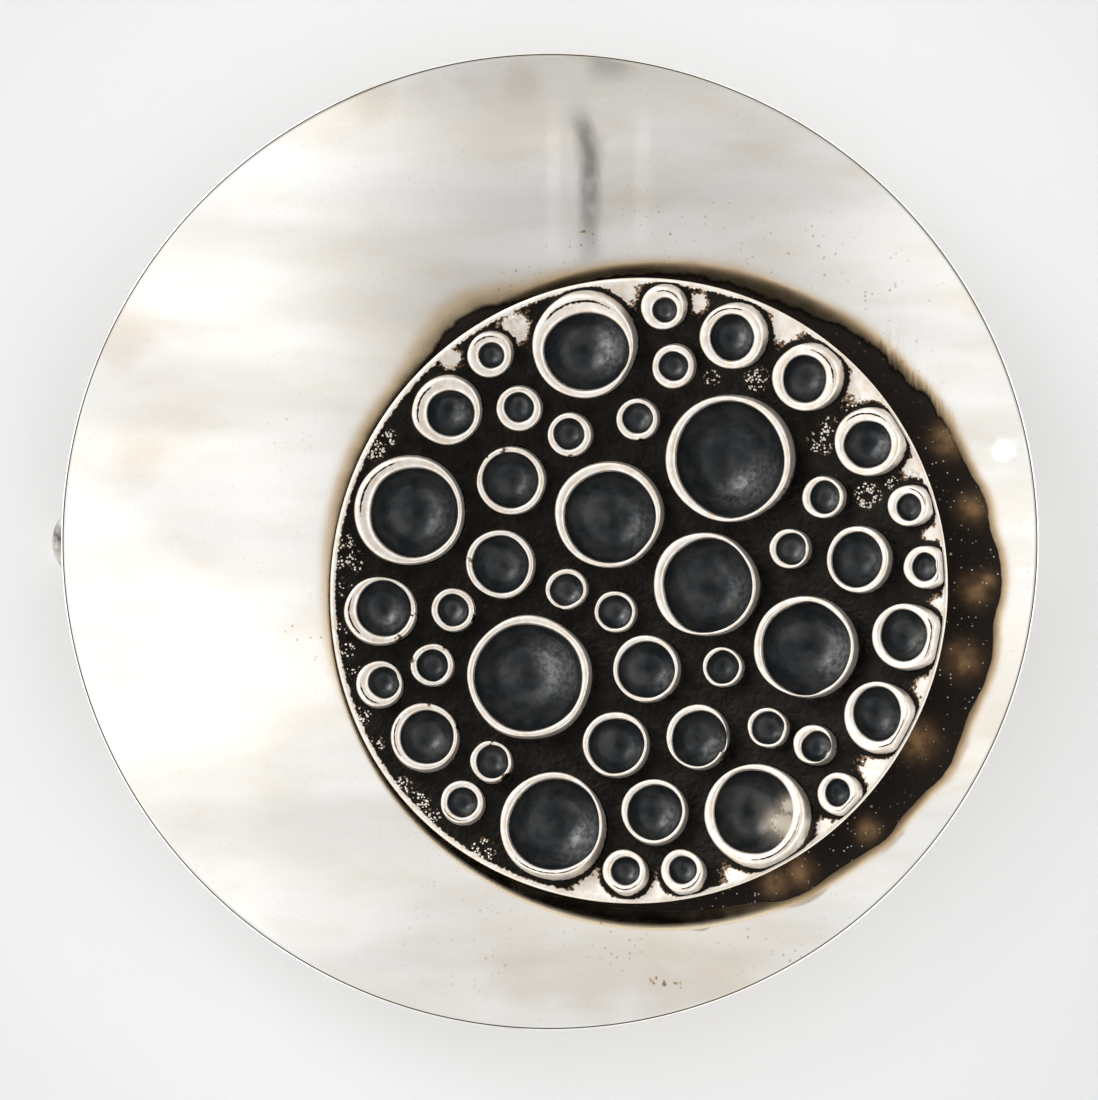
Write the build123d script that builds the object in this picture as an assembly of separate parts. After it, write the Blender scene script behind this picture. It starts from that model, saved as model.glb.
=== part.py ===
from build123d import *
import math
import os

os.makedirs("parts", exist_ok=True)

# Lengths are in millimetres and angles in degrees. The brooch lies face up on its two feet.

# Dish: a shallow round bowl of polished silver sheet
dish_diameter = 55.0
dish_bowl_radius = 88.0
dish_sheet = 0.85
dish_edge_round = 0.2

# Relief disc: a hollow-faced casting, raised and tilted over the dish
disc_diameter = 35.2
disc_bowl_radius = 90.0
disc_plate = 0.75
disc_edge_round = 0.1
disc_lift = 3.0
disc_tilt = 12.8
disc_raised_towards = -12.0

# Cups: round raised rings with a bowl inside, cast with the disc
cup_least_height = 0.8
cup_height_per_radius = 0.25
cup_draft = 4.0
cup_root = 0.3
bowl_depth_per_radius = 0.8
bowl_floor = 0.7
rim_round_per_wall = 0.45
rim_lip_per_wall = 0.3

# Peg: the stem that carries the disc, riveted through the dish off its middle
peg_right = 5.29
peg_down = 2.93
peg_shoulder_radius = 1.4
peg_tenon_radius = 0.95
peg_head_radius = 1.6
peg_head_height = 0.5
peg_clearance = 0.05

# Pin: a straight wire along X behind the dish
pin_radius = 0.5
pin_floor_gap = 0.4
pin_point = 2.2
pin_clearance = 0.05
cloth_gap = 1.6

# Catch: a round foot whose outer side shows past the dish's left edge
catch_radius = 2.3
catch_overhang = 0.5
catch_depth = 3.0

# Hinge: a block foot under the right side of the dish
hinge_length = 4.0
hinge_width = 5.0
hinge_from_edge = 1.2
hinge_depth = 2.8
foot_edge_round = 0.3

# Cups beside the disc's edge: turn in degrees from the right, then shares of the disc's radius
RIM_CUPS = [
    # turn, gap to the edge, outside radius, hollow radius
    (85, 0.006, 0.077, 0.040),
    (102, 0.008, 0.175, 0.131),
    (122, 0.016, 0.077, 0.041),
    (137, 0.027, 0.115, 0.075),
    (161, 0.022, 0.181, 0.143),
    (184, 0.034, 0.117, 0.089),
    (199, 0.021, 0.078, 0.050),
    (214, 0.041, 0.114, 0.086),
    (230, 0.030, 0.075, 0.048),
    (250, 0.012, 0.177, 0.148),
    (267, 0.013, 0.077, 0.046),
    (279, 0.006, 0.076, 0.045),
    (298, 0.006, 0.174, 0.131),
    (315, 0.006, 0.076, 0.042),
    (333, 0.006, 0.119, 0.082),
    (350, 0.006, 0.116, 0.078),
    (5, 0.006, 0.075, 0.043),
    (17, 0.006, 0.075, 0.041),
    (32, 0.006, 0.117, 0.076),
    (51, 0.006, 0.117, 0.073),
    (69, 0.006, 0.112, 0.072),
]

# Cups inside that ring: place and size, all as shares of the disc's radius
INNER_CUPS = [
    # right, up, outside radius, hollow radius
    (0.112, 0.719, 0.075, 0.047),
    (-0.389, 0.584, 0.076, 0.048),
    (-0.224, 0.500, 0.075, 0.050),
    (-0.005, 0.549, 0.072, 0.049),
    (0.293, 0.425, 0.211, 0.180),
    (-0.415, 0.353, 0.113, 0.090),
    (0.598, 0.301, 0.074, 0.050),
    (-0.099, 0.246, 0.176, 0.147),
    (0.489, 0.136, 0.070, 0.052),
    (0.713, 0.102, 0.111, 0.085),
    (-0.449, 0.087, 0.113, 0.092),
    (-0.234, 0.007, 0.070, 0.053),
    (0.215, 0.022, 0.173, 0.148),
    (-0.076, -0.065, 0.071, 0.054),
    (-0.602, -0.059, 0.073, 0.051),
    (0.539, -0.177, 0.171, 0.146),
    (0.024, -0.247, 0.112, 0.092),
    (0.272, -0.242, 0.069, 0.055),
    (-0.670, -0.235, 0.072, 0.050),
    (-0.357, -0.274, 0.202, 0.173),
    (0.190, -0.465, 0.107, 0.089),
    (0.418, -0.436, 0.070, 0.055),
    (-0.075, -0.489, 0.110, 0.090),
    (0.572, -0.492, 0.072, 0.049),
    (-0.479, -0.544, 0.071, 0.053),
    (0.049, -0.704, 0.110, 0.089),
]

# Places worked out from the sizes above, with the dish's axis on the Z axis
dish_radius = dish_diameter / 2
disc_radius = disc_diameter / 2
disc_face_radius = disc_radius * disc_bowl_radius / (disc_bowl_radius + disc_plate)
pin_height = pin_floor_gap + pin_radius
dish_back_height = pin_height + pin_radius + cloth_gap
dish_face_height = dish_back_height + dish_sheet
catch_x = -(dish_radius + catch_overhang - catch_radius)
hinge_x = dish_radius - hinge_from_edge - hinge_length / 2
bore_radius = pin_radius + pin_clearance


def at(radius, height):
    """A point of a profile that is turned about the Z axis."""
    return (radius, 0, height)


def turned(*edges):
    """The solid that a closed profile makes when it is turned about the Z axis."""
    return revolve(make_face(edges), Axis.Z, 360)


def bowl_arc(ball_radius, ball_height, first, last):
    """An arc of a ball about the Z axis, between two angles measured from straight down."""
    points = []
    for angle in (first, (first + last) / 2, last):
        a = math.radians(angle)
        points.append(at(ball_radius * math.sin(a), ball_height - ball_radius * math.cos(a)))
    return ThreePointArc(*points)


def sheet_bowl(radius, face_radius, thickness, edge_round):
    """A round sheet with a hollow face, its lowest point at the origin, its edge cut square."""
    back_radius = face_radius + thickness
    reach = 2 * back_radius
    spread = math.asin(radius / back_radius)
    # the balls lie on their sides, which keeps their poles and seams off the sheet
    shell = Rot(90, 0, 0) * Sphere(back_radius) - Rot(90, 0, 0) * Sphere(face_radius)
    sheet = shell & (Pos(0, 0, -reach / 2) * Cone(reach * math.tan(spread), 0, reach))
    rims = sheet.edges().filter_by(GeomType.CIRCLE)
    return Pos(0, 0, face_radius) * fillet(rims, min(edge_round, 0.45 * thickness))


def on_bowl(right, up, bowl_radius):
    """A place on a hollow face from its place in plan, with +Z towards the bowl's centre."""
    turn = math.degrees(math.atan2(up, right))
    lean = math.degrees(math.asin(math.hypot(right, up) / bowl_radius))
    return Pos(0, 0, bowl_radius) * Rot(0, 0, turn) * Rot(0, -lean, 0) * Pos(0, 0, -bowl_radius)


class Cup:
    """The lengths of one cup, whose axis is Z and whose foot is at the origin."""

    def __init__(self, right, up, outside, hollow):
        self.seat = on_bowl(right, up, disc_bowl_radius)
        self.foot = outside
        self.height = cup_least_height + cup_height_per_radius * outside
        self.top = outside - self.height * math.tan(math.radians(cup_draft))
        self.root = outside + cup_root * math.tan(math.radians(cup_draft))
        self.hollow = hollow
        wall = self.top - hollow
        self.round = rim_round_per_wall * wall
        self.lip = rim_lip_per_wall * wall
        depth = bowl_depth_per_radius * hollow
        self.ball = (hollow**2 + depth**2) / (2 * depth)
        self.ball_height = self.height - self.lip - depth + self.ball

    def body(self):
        """The cup without its hollow, rooted in the disc."""
        shoulder = at(self.top, self.height - self.round)
        crown = at(self.top - self.round, self.height)
        swing = self.round * math.sin(math.radians(45))
        mid = at(self.top - self.round + swing, self.height - self.round + swing)
        side = Polyline(at(0, -cup_root), at(self.root, -cup_root), shoulder)
        rim = ThreePointArc(shoulder, mid, crown)
        return turned(side, rim, Polyline(crown, at(0, self.height), at(0, -cup_root)))

    def is_deep(self):
        """Whether the floor under the hollow reaches past the disc's back."""
        return self.ball + bowl_floor - self.ball_height > disc_plate

    def back(self):
        """The dome that keeps the floor of a deep hollow at its full thickness."""
        ball = self.ball + bowl_floor
        drop = self.ball_height + cup_root
        arc = bowl_arc(ball, self.ball_height, 0, math.degrees(math.acos(drop / ball)))
        return turned(arc, Polyline(arc @ 1, at(0, -cup_root), arc @ 0))

    def bowl(self):
        """What is cut away inside the cup, with a rounded lip."""
        spread = math.degrees(math.asin(self.hollow / self.ball))
        arc = bowl_arc(self.ball, self.ball_height, 0, spread)
        centre = self.hollow + self.lip
        swing = self.lip * math.sin(math.radians(45))
        mid = at(centre - swing, self.height - self.lip + swing)
        mouth = at(centre, self.height)
        above = self.height + self.foot
        lip = ThreePointArc(arc @ 1, mid, mouth)
        return turned(arc, lip, Polyline(mouth, at(centre, above), at(0, above), arc @ 0))


def charted_cups():
    """Every cup of the chart, as lengths worked out from the disc's radius."""
    cups = []
    for turn, edge_gap, outside, hollow in RIM_CUPS:
        reach = disc_face_radius - disc_radius * (edge_gap + outside)
        right = reach * math.cos(math.radians(turn))
        up = reach * math.sin(math.radians(turn))
        cups.append(Cup(right, up, disc_radius * outside, disc_radius * hollow))
    for right, up, outside, hollow in INNER_CUPS:
        cups.append(Cup(*(disc_radius * share for share in (right, up, outside, hollow))))
    return cups


def relief_disc():
    """The cast disc with its cups, its face at the origin."""
    plate = sheet_bowl(disc_radius, disc_bowl_radius, disc_plate, disc_edge_round)
    cups = charted_cups()
    raised = [cup.seat * cup.body() for cup in cups]
    raised += [cup.seat * cup.back() for cup in cups if cup.is_deep()]
    return plate.fuse(*raised).cut(*[cup.seat * cup.bowl() for cup in cups])


def peg():
    """The disc's stem, on the dish's face at the origin, with its head behind the dish."""
    head_top = -(dish_sheet + peg_clearance)
    head_end = head_top - peg_head_height
    stem_top = disc_lift + disc_plate / 2
    return turned(
        Polyline(
            at(0, head_end),
            at(peg_head_radius, head_end),
            at(peg_head_radius, head_top),
            at(peg_tenon_radius, head_top),
            at(peg_tenon_radius, peg_clearance),
            at(peg_shoulder_radius, peg_clearance),
            at(peg_shoulder_radius, stem_top),
            at(0, stem_top),
            at(0, head_end),
        )
    )


def disc_on_peg(peg_place):
    """Where the disc goes: centred over its peg and raised towards one side."""
    centre = (peg_place * Pos(0, 0, disc_lift + disc_plate)).position
    turn = disc_raised_towards
    return Pos(*centre) * Rot(0, 0, turn) * Rot(0, -disc_tilt, 0) * Rot(0, 0, -turn)


def under_dish(foot):
    """A foot from the floor, cut off inside the thickness of the dish's sheet."""
    ball = Sphere(dish_bowl_radius + dish_sheet / 2)
    return foot - Pos(0, 0, dish_face_height + dish_bowl_radius) * ball


def tall_foot(outline):
    """A foot of one outline on the floor, with its lower edge rounded."""
    block = extrude(outline, dish_face_height + dish_radius / 2)
    return fillet(block.faces().sort_by(Axis.Z)[0].edges(), foot_edge_round)


def catch():
    """The round foot at the left, slotted from below for the pin's point."""
    foot = under_dish(Pos(catch_x, 0, 0) * tall_foot(Circle(catch_radius)))
    slot_end = catch_x + catch_radius - catch_depth
    slot_length = catch_depth + catch_radius
    middle = slot_end + slot_length / 2
    bore = Pos(middle, 0, pin_height) * Rot(0, 90, 0) * Cylinder(bore_radius, slot_length)
    mouth = Pos(middle, 0, 0) * Box(slot_length, 2 * bore_radius, 2 * pin_height)
    return foot - bore - mouth


def hinge():
    """The block foot at the right, bored for the thick end of the pin."""
    outline = RectangleRounded(hinge_length, hinge_width, hinge_length / 4)
    foot = under_dish(Pos(hinge_x, 0, 0) * tall_foot(outline))
    mouth_x = hinge_x - hinge_length / 2
    bore = Cylinder(bore_radius, 2 * hinge_depth)
    return foot - Pos(mouth_x, 0, pin_height) * Rot(0, 90, 0) * bore


def dish(peg_place):
    """The polished bowl with its hole for the peg, and the two feet soldered behind it."""
    bowl = Pos(0, 0, dish_face_height) * sheet_bowl(
        dish_radius, dish_bowl_radius, dish_sheet, dish_edge_round
    )
    hole = peg_place * Cylinder(peg_tenon_radius + peg_clearance, 4 * dish_sheet)
    return bowl.fuse(catch(), hinge()) - hole


def brooch_pin():
    """The plain wire from the hinge's bore to its point in the catch."""
    left = catch_x + catch_radius - catch_depth + pin_clearance
    right = hinge_x - hinge_length / 2 + hinge_depth - pin_clearance
    wire = turned(
        Polyline(
            at(0, left),
            at(pin_radius / 4, left),
            at(pin_radius, left + pin_point),
            at(pin_radius, right),
            at(0, right),
            at(0, left),
        )
    )
    return Pos(0, 0, pin_height) * Rot(0, 90, 0) * wire


peg_place = Pos(0, 0, dish_face_height) * on_bowl(peg_right, -peg_down, dish_bowl_radius)
cup_disc = (disc_on_peg(peg_place) * relief_disc()).fuse(peg_place * peg())

nodes = {
    "dish": dish(peg_place),
    "cup_disc": cup_disc,
    "brooch_pin": brooch_pin(),
}

# The frame's origin lies on the floor, under the middle of the whole brooch
boxes = [solid.bounding_box() for solid in nodes.values()]
middle_x = (min(box.min.X for box in boxes) + max(box.max.X for box in boxes)) / 2

for name, solid in nodes.items():
    export_step(Pos(-middle_x, 0, 0) * solid, f"parts/{name}.step")
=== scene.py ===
import math

import bpy
import numpy as np
from mathutils import Matrix, Vector
from mathutils.geometry import delaunay_2d_cdt


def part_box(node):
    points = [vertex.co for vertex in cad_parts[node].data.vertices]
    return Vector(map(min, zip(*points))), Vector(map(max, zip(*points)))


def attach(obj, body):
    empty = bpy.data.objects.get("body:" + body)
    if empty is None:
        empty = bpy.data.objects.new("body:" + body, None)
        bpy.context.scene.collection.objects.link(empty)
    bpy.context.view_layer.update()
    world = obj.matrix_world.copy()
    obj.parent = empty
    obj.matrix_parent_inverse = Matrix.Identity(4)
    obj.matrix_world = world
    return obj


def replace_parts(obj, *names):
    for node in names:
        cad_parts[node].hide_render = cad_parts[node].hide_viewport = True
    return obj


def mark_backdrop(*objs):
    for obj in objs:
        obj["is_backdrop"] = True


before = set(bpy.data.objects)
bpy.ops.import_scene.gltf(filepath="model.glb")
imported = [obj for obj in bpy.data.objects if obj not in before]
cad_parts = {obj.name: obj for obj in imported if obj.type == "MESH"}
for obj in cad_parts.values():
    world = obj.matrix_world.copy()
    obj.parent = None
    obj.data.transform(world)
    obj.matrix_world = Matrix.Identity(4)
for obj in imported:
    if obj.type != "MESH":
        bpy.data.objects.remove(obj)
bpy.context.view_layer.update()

# Lengths are in millimetres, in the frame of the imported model, and become metres in each mesh
MM = 0.001

# The photograph: its size, and the dish's middle and width in it, in its pixels
PHOTO_WIDTH = 1098
PHOTO_HEIGHT = 1100
DISH_MIDDLE_X = 550.0
DISH_MIDDLE_Y = 541.5
DISH_WIDTH_PX = 978.5
CAMERA_DISTANCE = 450.0
SENSOR_WIDTH = 36.0
FLOOR_REACH = 400.0

# Dish, from the frame and with the same bend and sheet as the solid
dish_low, dish_high = (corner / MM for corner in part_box("dish"))
DISH_RADIUS = (dish_high.y - dish_low.y) / 2
DISH_AXIS_X = dish_high.x - DISH_RADIUS
RIM_HEIGHT = dish_high.z
DISH_BOWL = 88.0
DISH_SHEET = 0.85
DISH_EDGE_ROUND = 0.22
DISH_LIP = 0.12
DISH_FACE_HEIGHT = 3.85
DISH_RINGS = 150
DISH_BACK_RINGS = 24
DISH_POINTS = 448

# Relief disc, placed on its peg as in the solid
DISC_RADIUS = 17.0
DISC_BOWL = 90.0
DISC_PLATE = 0.75
DISC_LIFT = 3.0
DISC_TILT = 12.8
DISC_RAISED_TOWARDS = -12.0
PEG_RIGHT = 5.29
PEG_DOWN = 2.93
PEG_STEM = 1.4
PEG_HEAD = 1.6
PEG_HEAD_HEIGHT = 0.5

# Feet behind the dish, and the pin between them
CATCH_RADIUS = 2.3
CATCH_OVERHANG = 0.5
CATCH_DEPTH = 3.0
HINGE_LENGTH = 4.0
HINGE_WIDTH = 5.0
HINGE_FROM_EDGE = 1.2
HINGE_DEPTH = 2.8
FOOT_EDGE_ROUND = 0.3
FOOT_SOLDER = 0.25
FOOT_WALL = 1.5
FOOT_POINTS = 96
PIN_RADIUS = 0.5
PIN_HEIGHT = 0.9
PIN_POINT = 2.2
PIN_TIP = 0.13
PIN_CLEARANCE = 0.05
BORE_RADIUS = 0.55

# The disc's outline in the photograph: its middle and half axes, then how far it strays from them
DISC_X = 639.3
DISC_Y = 591.4
DISC_HALF_WIDTH = 308.8
DISC_HALF_HEIGHT = 313.4
OUTLINE_STRAY = [
    # turn in degrees from the right, pixels outwards
    (-139, 5.0), (-105, 0.0), (-68, -3.5), (-31, -4.5), (0, 0.0), (45, 1.5), (90, 0.0), (180, 0.0),
]

# Cups as the photograph shows them, in its pixels
CUPS = [
    # middle x, y, outer half width, half height, hollow's middle right, down, its half width, half height
    (664.9, 306.5, 24.0, 24.0, -0.7, 3.7, 12.3, 12.3),
    (585.6, 344.3, 54.4, 54.4, 0.4, 7.4, 42.8, 38.6),
    (491.0, 354.0, 24.0, 24.0, 0.0, 1.5, 12.8, 12.8),
    (447.7, 410.0, 35.9, 35.9, 2.6, 3.5, 23.4, 23.4),
    (409.8, 510.5, 56.2, 56.2, 3.9, 1.8, 44.4, 44.4),
    (381.1, 611.5, 37.2, 35.3, 2.5, -3.2, 27.6, 27.6),
    (380.0, 684.9, 24.3, 24.3, 3.8, -2.6, 15.7, 15.7),
    (425.5, 738.0, 35.4, 35.4, 1.2, -1.3, 26.8, 26.8),
    (463.4, 803.6, 23.2, 23.2, -1.2, -1.6, 15.0, 15.0),
    (554.0, 827.0, 55.0, 55.0, 0.4, -3.0, 46.0, 46.0),
    (626.5, 873.1, 24.0, 24.0, -1.4, -2.7, 14.3, 14.3),
    (684.5, 872.8, 23.8, 23.8, -2.3, -3.4, 13.9, 13.9),
    (758.8, 816.5, 54.0, 54.0, -6.4, -5.5, 39.4, 42.0),
    (841.6, 794.9, 23.6, 23.6, -4.7, -2.6, 12.1, 13.9),
    (881.7, 718.0, 37.0, 38.5, -5.3, -4.7, 23.1, 27.9),
    (909.5, 637.1, 36.4, 36.4, -6.6, -2.1, 23.0, 25.8),
    (928.0, 567.4, 23.7, 23.7, -3.9, -0.6, 12.6, 14.0),
    (911.8, 505.7, 23.3, 23.3, -3.5, 1.5, 12.2, 13.6),
    (871.6, 441.7, 36.7, 36.7, -4.8, 2.8, 23.6, 23.6),
    (809.3, 377.0, 36.3, 36.3, -5.6, 2.1, 21.5, 23.8),
    (735.0, 335.6, 35.0, 35.0, -3.7, 2.1, 21.6, 23.5),
    (674.0, 366.2, 23.3, 23.3, -1.1, 0.0, 14.6, 14.6),
    (519.3, 408.4, 23.7, 23.7, -0.7, -1.0, 14.8, 14.8),
    (570.2, 434.7, 23.2, 23.2, -1.7, -0.7, 15.4, 15.4),
    (637.9, 419.3, 22.4, 22.4, -0.7, -1.0, 15.2, 15.2),
    (729.8, 458.2, 65.5, 65.5, -0.6, 0.9, 54.9, 57.2),
    (511.3, 480.7, 35.1, 35.1, -1.3, -0.7, 28.0, 28.0),
    (823.9, 497.2, 22.9, 22.9, 0.4, 0.0, 14.9, 16.5),
    (608.7, 514.3, 54.8, 54.8, 0.6, 2.7, 45.8, 45.8),
    (790.4, 548.8, 21.8, 21.8, 1.0, 0.0, 16.0, 16.0),
    (859.4, 559.5, 33.5, 35.7, -3.2, 0.0, 25.4, 27.6),
    (500.7, 564.1, 35.2, 35.2, -0.5, 0.0, 28.5, 28.5),
    (566.9, 589.1, 21.7, 21.7, -0.6, 0.9, 16.4, 16.4),
    (705.6, 584.5, 53.9, 53.9, 1.6, 0.9, 44.6, 47.4),
    (615.9, 611.9, 22.0, 22.0, -1.0, 0.0, 16.8, 16.8),
    (453.4, 610.0, 22.6, 22.6, -0.5, 0.0, 15.8, 15.8),
    (805.6, 646.9, 53.2, 53.2, -0.2, 1.7, 44.4, 46.7),
    (646.7, 668.9, 34.8, 34.8, -0.6, 0.8, 28.6, 28.6),
    (723.4, 667.3, 21.5, 21.5, 0.0, 0.0, 17.0, 17.0),
    (432.5, 665.2, 22.3, 22.3, -0.3, 0.0, 15.7, 15.7),
    (529.2, 677.2, 62.8, 62.8, -1.5, 0.0, 53.9, 53.9),
    (698.0, 737.0, 32.6, 34.0, 0.9, 1.4, 27.8, 27.8),
    (768.5, 728.0, 21.8, 21.8, 0.0, 0.0, 17.0, 17.0),
    (616.0, 744.7, 34.3, 34.3, 0.0, 0.9, 28.0, 28.0),
    (816.0, 745.6, 22.3, 22.3, 0.0, 0.7, 15.2, 15.2),
    (491.5, 762.0, 22.0, 22.0, 1.0, -0.6, 16.6, 16.6),
    (654.5, 811.9, 34.3, 34.3, 0.0, 0.0, 27.7, 27.7),
]

# Their walls and bowls. A brim is drawn in by a share of how far the tilt shifts it in the photograph
CUP_LEAST_HEIGHT = 0.8
CUP_HEIGHT_PER_RADIUS = 0.25
CUP_FOOT_ROUND = 0.1
WALL_UPRIGHT = 0.42
BRIM_DRAWN = 0.3
LIP_DROP_PER_WALL = 0.3
LIP_DROP_FROM = 0.6
LEAST_WALL = 0.22
RIM_CUPS_FROM = 0.75
CUP_POINTS = [
    # for cups whose half width is over this many pixels, places round each ring
    (45, 96), (28, 64), (0, 48),
]
WALL = [
    # share of the way from the wall's outside to the mouth, share of the height, how polished
    (0.0, 0.12, 0.3),
    (0.0, 0.3, 0.65),
    (0.0, 0.5, 0.8),
    (0.005, 0.68, 0.9),
    (0.02, 0.8, 0.95),
    (0.05, 0.88, 1.0),
    (0.1, 0.94, 1.0),
    (0.17, 0.975, 1.0),
    (0.27, 0.993, 1.0),
    (0.4, 1.0, 1.0),
    (0.55, 1.0, 1.0),
    (0.7, 1.0, 1.0),
    (0.84, 0.99, 1.0),
    (0.94, 0.965, 0.95),
    (1.0, 0.91, 0.85),
]
GROOVE_AT = 0.4
BOWL_DEPTH_PER_RADIUS = 0.8
BOWL_BALL_PER_RADIUS = 1.03
BOWL_FLOOR = 0.7
BOWL_RINGS = (0.985, 0.95, 0.9, 0.83, 0.74, 0.63, 0.5, 0.36, 0.24, 0.12)

# Ground between the cups, and the disc's edge
GROUND_SPACING = 0.2
BACK_SPACING = 0.5
GRID_REACH = 18.0
GRID_ROW = 0.866
GROUND_STRAY = 0.03
BACK_BLEND = 0.25
EDGE_ROUND = 0.15
EDGE_POINTS = 480
CUP_TO_EDGE = 0.04

# Spots on the disc, as x, y and reach in pixels: bared ground, whole or in specks, then worn and nicked cups
BARE_GROUND = [
    (515, 328, 17), (450, 358, 12), (620, 291, 20), (698, 303, 11), (786, 326, 20),
    (864, 385, 22), (913, 467, 13), (932, 535, 10), (939, 606, 11), (926, 688, 13),
    (878, 771, 20), (825, 828, 11), (740, 874, 18), (600, 896, 32), (660, 897, 22),
]
SPECKLED_GROUND = [
    (822, 440, 14), (830, 426, 9), (868, 495, 13), (893, 484, 8), (912, 477, 8),
    (850, 404, 9), (712, 378, 8), (757, 379, 12), (346, 540, 10), (350, 562, 13),
    (346, 588, 9), (345, 628, 7), (348, 650, 7), (354, 672, 8), (376, 450, 10),
    (390, 438, 8), (362, 716, 9), (375, 745, 9), (402, 787, 10), (418, 803, 12),
    (434, 818, 9), (483, 851, 12), (516, 322, 10), (478, 326, 8),
]
WORN_BOWLS = [(784, 824, 15), (789, 806, 10)]
NICKED_CUPS = [
    (504, 450, 6), (486, 456, 5), (570, 455, 4), (640, 440, 4), (413, 614, 5),
    (398, 637, 6), (456, 728, 5), (428, 704, 5), (491, 742, 5), (505, 776, 5),
    (413, 660, 5), (446, 646, 4), (470, 560, 4), (473, 618, 4),
]

# The black on the dish, by turn in degrees, in pixels from the disc's outline: how far the black reaches
# The black is partly tarnish and partly painted shade under the disc and a painted reflection of its dark
# underside
BLACK_BESIDE_DISC = [
    (-150, -8), (-135, -7), (-120, -3), (-110, 3), (-100, 2), (-90, 6), (-80, 12),
    (-75, 17), (-70, 21), (-65, 32), (-60, 36), (-55, 34), (-50, 37), (-45, 44),
    (-40, 40), (-35, 43), (-30, 52), (-25, 48), (-20, 45), (-15, 51), (-10, 52),
    (-5, 47), (0, 55), (5, 54), (10, 47), (15, 49), (20, 40), (30, 38), (40, 28),
    (50, 23), (60, 9), (80, 7), (90, 3), (100, 0), (110, -1), (116, 5), (120, 14),
    (126, 12), (136, 0), (145, -3), (160, -3), (185, -5),
]
# The brown past the black: partly tarnish, partly painted shade about the disc and a painted reflection of
# its edge
BROWN_BESIDE_DISC = [
    # turn, softness of the black's border, then the brown's reach past it and its strength
    (-140, 3, 6, 0.5),
    (-120, 2, 6, 0.6),
    (-90, 1.5, 8, 0.7),
    (-40, 1.5, 8, 0.72),
    (0, 1.5, 8, 0.7),
    (20, 2, 9, 0.7),
    (40, 6, 13, 0.75),
    (60, 8, 18, 0.8),
    (85, 7, 16, 0.75),
    (100, 5, 18, 0.7),
    (118, 7, 24, 0.8),
    (126, 7, 24, 0.8),
    (133, 4, 20, 0.85),
    (141, 3, 14, 0.85),
    (150, 3, 15, 0.85),
    (160, 3, 14, 0.8),
    (170, 3, 13, 0.65),
    (180, 3, 11, 0.5),
    (190, 3, 10, 0.5),
    (205, 3, 6, 0.35),
]

# Spots on the dish, as x, y and reach in pixels
# Brown lobes in the black: a painted reflection of the domed backs of the cups at the disc's rim
REFLECTED_LOBES = [
    (948, 440, 14), (971, 508, 12), (987, 580, 8), (976, 590, 13), (962, 659, 15),
    (918, 741, 16), (868, 830, 10), (800, 872, 12), (775, 882, 12),
]
STAINED_DISH = [
    (120, 345, 45), (165, 395, 50), (140, 455, 40), (375, 100, 26), (425, 92, 24),
    (470, 84, 24), (520, 78, 24), (590, 995, 40), (660, 1010, 35), (725, 985, 40),
    (520, 985, 40),
]
SMUDGES = [(583, 231, 5), (655, 981, 7), (664, 984, 6), (679, 986, 6)]
SPECKED_DISH = [
    (530, 268, 30), (500, 285, 20), (585, 250, 35), (660, 235, 45), (730, 232, 50),
    (810, 250, 50), (880, 300, 50), (930, 380, 40), (300, 440, 30), (300, 640, 40),
    (460, 930, 50), (600, 950, 40), (760, 950, 50),
]
DUSTY_DISH = [(980, 580, 60), (950, 690, 60), (950, 470, 40), (850, 850, 50), (740, 895, 40)]
BRUSHED_DISH = [(925, 395, 45), (890, 350, 30)]

pixel = 2 * DISH_RADIUS / DISH_WIDTH_PX
photo_middle_x = DISH_AXIS_X + (PHOTO_WIDTH / 2 - DISH_MIDDLE_X) * pixel
photo_middle_y = (DISH_MIDDLE_Y - PHOTO_HEIGHT / 2) * pixel
camera_spot = np.array([photo_middle_x, photo_middle_y, RIM_HEIGHT + CAMERA_DISTANCE])


def turn_about(axis, degrees):
    """A turn as a matrix for rows of points."""
    return np.array(Matrix.Rotation(math.radians(degrees), 3, axis))


disc_turn = turn_about("Z", DISC_RAISED_TOWARDS) @ turn_about("Y", -DISC_TILT)
disc_turn = disc_turn @ turn_about("Z", -DISC_RAISED_TOWARDS)
dish_ball = np.array([DISH_AXIS_X, 0.0, DISH_FACE_HEIGHT + DISH_BOWL])
peg_reach = math.hypot(PEG_RIGHT, PEG_DOWN)
peg_axis = -np.array([PEG_RIGHT, -PEG_DOWN, -math.sqrt(DISH_BOWL**2 - peg_reach**2)]) / DISH_BOWL
disc_centre = dish_ball - peg_axis * (DISH_BOWL - DISC_LIFT - DISC_PLATE)
disc_ball = disc_centre + DISC_BOWL * disc_turn[:, 2]


def on_disc(u, v, h):
    """Points of the relief disc, from places on its face and heights over it."""
    lean = np.arcsin(np.hypot(u, v) / DISC_BOWL)
    reach = 1 - h / DISC_BOWL
    flat = np.stack([u * reach, v * reach, DISC_BOWL * (1 - reach * np.cos(lean))], -1)
    return flat @ disc_turn.T + disc_centre


def in_photo(points):
    """Pixels of the photograph where points show."""
    shrink = CAMERA_DISTANCE / (camera_spot[2] - points[..., 2])
    x = DISH_MIDDLE_X + ((points[..., 0] - camera_spot[0]) * shrink + camera_spot[0] - DISH_AXIS_X) / pixel
    y = DISH_MIDDLE_Y - ((points[..., 1] - camera_spot[1]) * shrink + camera_spot[1]) / pixel
    return x, y


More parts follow.
